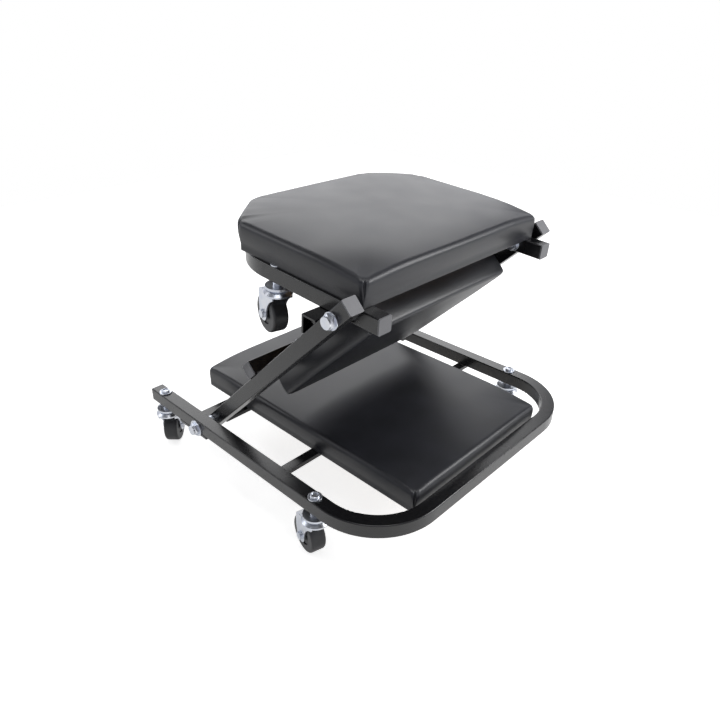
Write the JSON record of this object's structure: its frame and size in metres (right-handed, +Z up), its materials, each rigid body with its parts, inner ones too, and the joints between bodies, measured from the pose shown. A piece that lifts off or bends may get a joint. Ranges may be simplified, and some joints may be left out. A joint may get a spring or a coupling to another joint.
{
  "type": "folding creeper seat",
  "caption": "Folding mechanic's creeper standing as a low wheeled stool: padded base, slanted padded links and a padded top frame on swivel casters.",
  "frame": {"origin": "on the floor under the middle of the base frame", "axes": "+X to the front, the bent end of the base; +Y across the seat, square to the hinges' plane of swing; +Z up"},
  "size_m": [0.4719, 0.4536, 0.3767],
  "materials": {
    "black_steel": "semi-gloss black powder coat",
    "vinyl": "smooth black vinyl with a soft sheen",
    "plywood": "plain board under the padding",
    "cap_plastic": "dark grey moulded end caps",
    "wheel_plastic": "black moulded nylon wheels",
    "zinc": "bright zinc plate"
  },
  "bodies": {
    "base": {"base_frame": "black_steel", "base_cross_tube": "black_steel", "base_hinge_channel": "black_steel", "base_spacer_plates": "black_steel", "base_tube_caps": "cap_plastic", "base_pad_blocks": "black_steel", "base_board": "plywood", "base_cushion": "vinyl", "base_pad_screws": "zinc", "base_hinge_bolts": "zinc", "base_hinge_washers": "zinc", "base_hinge_bushes": "zinc", "base_hinge_nuts": "zinc", "base_caster_heads": "zinc", "base_caster_washers": "zinc", "base_caster_nuts": "zinc"},
    "links": {"link_near": "black_steel", "link_far": "black_steel", "link_caps": "cap_plastic", "link_cross_tube": "black_steel", "link_strap": "black_steel", "link_board": "plywood", "link_cushion": "vinyl", "link_pad_screws": "zinc", "top_hinge_bolts": "zinc", "top_hinge_washers": "zinc", "top_hinge_bushes": "zinc", "top_hinge_nuts": "zinc"},
    "top": {"top_frame": "black_steel", "top_stop_angle": "black_steel", "top_cross_tube": "black_steel", "top_tube_caps": "cap_plastic", "top_board": "plywood", "top_cushion": "vinyl", "top_pad_screws": "zinc", "top_caster_heads": "zinc", "top_caster_washers": "zinc", "top_caster_nuts": "zinc"},
    "fork_rear_near": {"fork_1": "zinc", "axle_1": "zinc"},
    "wheel_rear_near": {"wheel_1": "wheel_plastic"},
    "fork_rear_far": {"fork_2": "zinc", "axle_2": "zinc"},
    "wheel_rear_far": {"wheel_2": "wheel_plastic"},
    "fork_front_near": {"fork_3": "zinc", "axle_3": "zinc"},
    "wheel_front_near": {"wheel_3": "wheel_plastic"},
    "fork_front_far": {"fork_4": "zinc", "axle_4": "zinc"},
    "wheel_front_far": {"wheel_4": "wheel_plastic"},
    "fork_top_near": {"fork_5": "zinc", "axle_5": "zinc"},
    "wheel_top_near": {"wheel_5": "wheel_plastic"},
    "fork_top_far": {"fork_6": "zinc", "axle_6": "zinc"},
    "wheel_top_far": {"wheel_6": "wheel_plastic"}
  },
  "joints": [
    {"name": "lower_hinge", "type": "hinge", "parent": "base", "child": "links", "pos_m": [-0.10891, 0, 0.0785], "axis": [0, -1, 0], "range_deg": [0, 134.83]},
    {"name": "upper_hinge", "type": "hinge", "parent": "links", "child": "top", "pos_m": [0.13573, 0, 0.31891], "axis": [0, 1, 0], "range_deg": [0, 131.33]},
    {"name": "swivel_rear_near", "type": "hinge", "parent": "base", "child": "fork_rear_near", "pos_m": [-0.20091, -0.2085, 0.073], "axis": [0, 0, 1], "continuous": true},
    {"name": "roll_rear_near", "type": "hinge", "parent": "fork_rear_near", "child": "wheel_rear_near", "pos_m": [-0.21203, -0.19699, 0.025], "axis": [0.7193, 0.6947, 0], "continuous": true},
    {"name": "swivel_rear_far", "type": "hinge", "parent": "base", "child": "fork_rear_far", "pos_m": [-0.20091, 0.2085, 0.073], "axis": [0, 0, 1], "continuous": true},
    {"name": "roll_rear_far", "type": "hinge", "parent": "fork_rear_far", "child": "wheel_rear_far", "pos_m": [-0.18706, 0.2005, 0.025], "axis": [-0.5, -0.866, 0], "continuous": true},
    {"name": "swivel_front_near", "type": "hinge", "parent": "base", "child": "fork_front_near", "pos_m": [0.12359, -0.2085, 0.073], "axis": [0, 0, 1], "continuous": true},
    {"name": "roll_front_near", "type": "hinge", "parent": "fork_front_near", "child": "wheel_front_near", "pos_m": [0.10806, -0.20463, 0.025], "axis": [0.2419, 0.9703, 0], "continuous": true},
    {"name": "swivel_front_far", "type": "hinge", "parent": "base", "child": "fork_front_far", "pos_m": [0.12359, 0.2085, 0.073], "axis": [0, 0, 1], "continuous": true},
    {"name": "roll_front_far", "type": "hinge", "parent": "fork_front_far", "child": "wheel_front_far", "pos_m": [0.11048, 0.19932, 0.025], "axis": [-0.5736, 0.8192, 0], "continuous": true},
    {"name": "swivel_top_near", "type": "hinge", "parent": "top", "child": "fork_top_near", "pos_m": [0.01138, -0.1565, 0.317], "axis": [0.061, 0, 0.9981], "continuous": true},
    {"name": "roll_top_near", "type": "hinge", "parent": "fork_top_near", "child": "wheel_top_near", "pos_m": [-0.00704, -0.15263, 0.27004], "axis": [0.2415, 0.9703, -0.0148], "continuous": true},
    {"name": "swivel_top_far", "type": "hinge", "parent": "top", "child": "fork_top_far", "pos_m": [0.01138, 0.1565, 0.317], "axis": [0.061, 0, 0.9981], "continuous": true},
    {"name": "roll_top_far", "type": "hinge", "parent": "fork_top_far", "child": "wheel_top_far", "pos_m": [-0.00378, 0.16678, 0.26984], "axis": [0.6416, 0.766, -0.0392], "continuous": true}
  ]
}
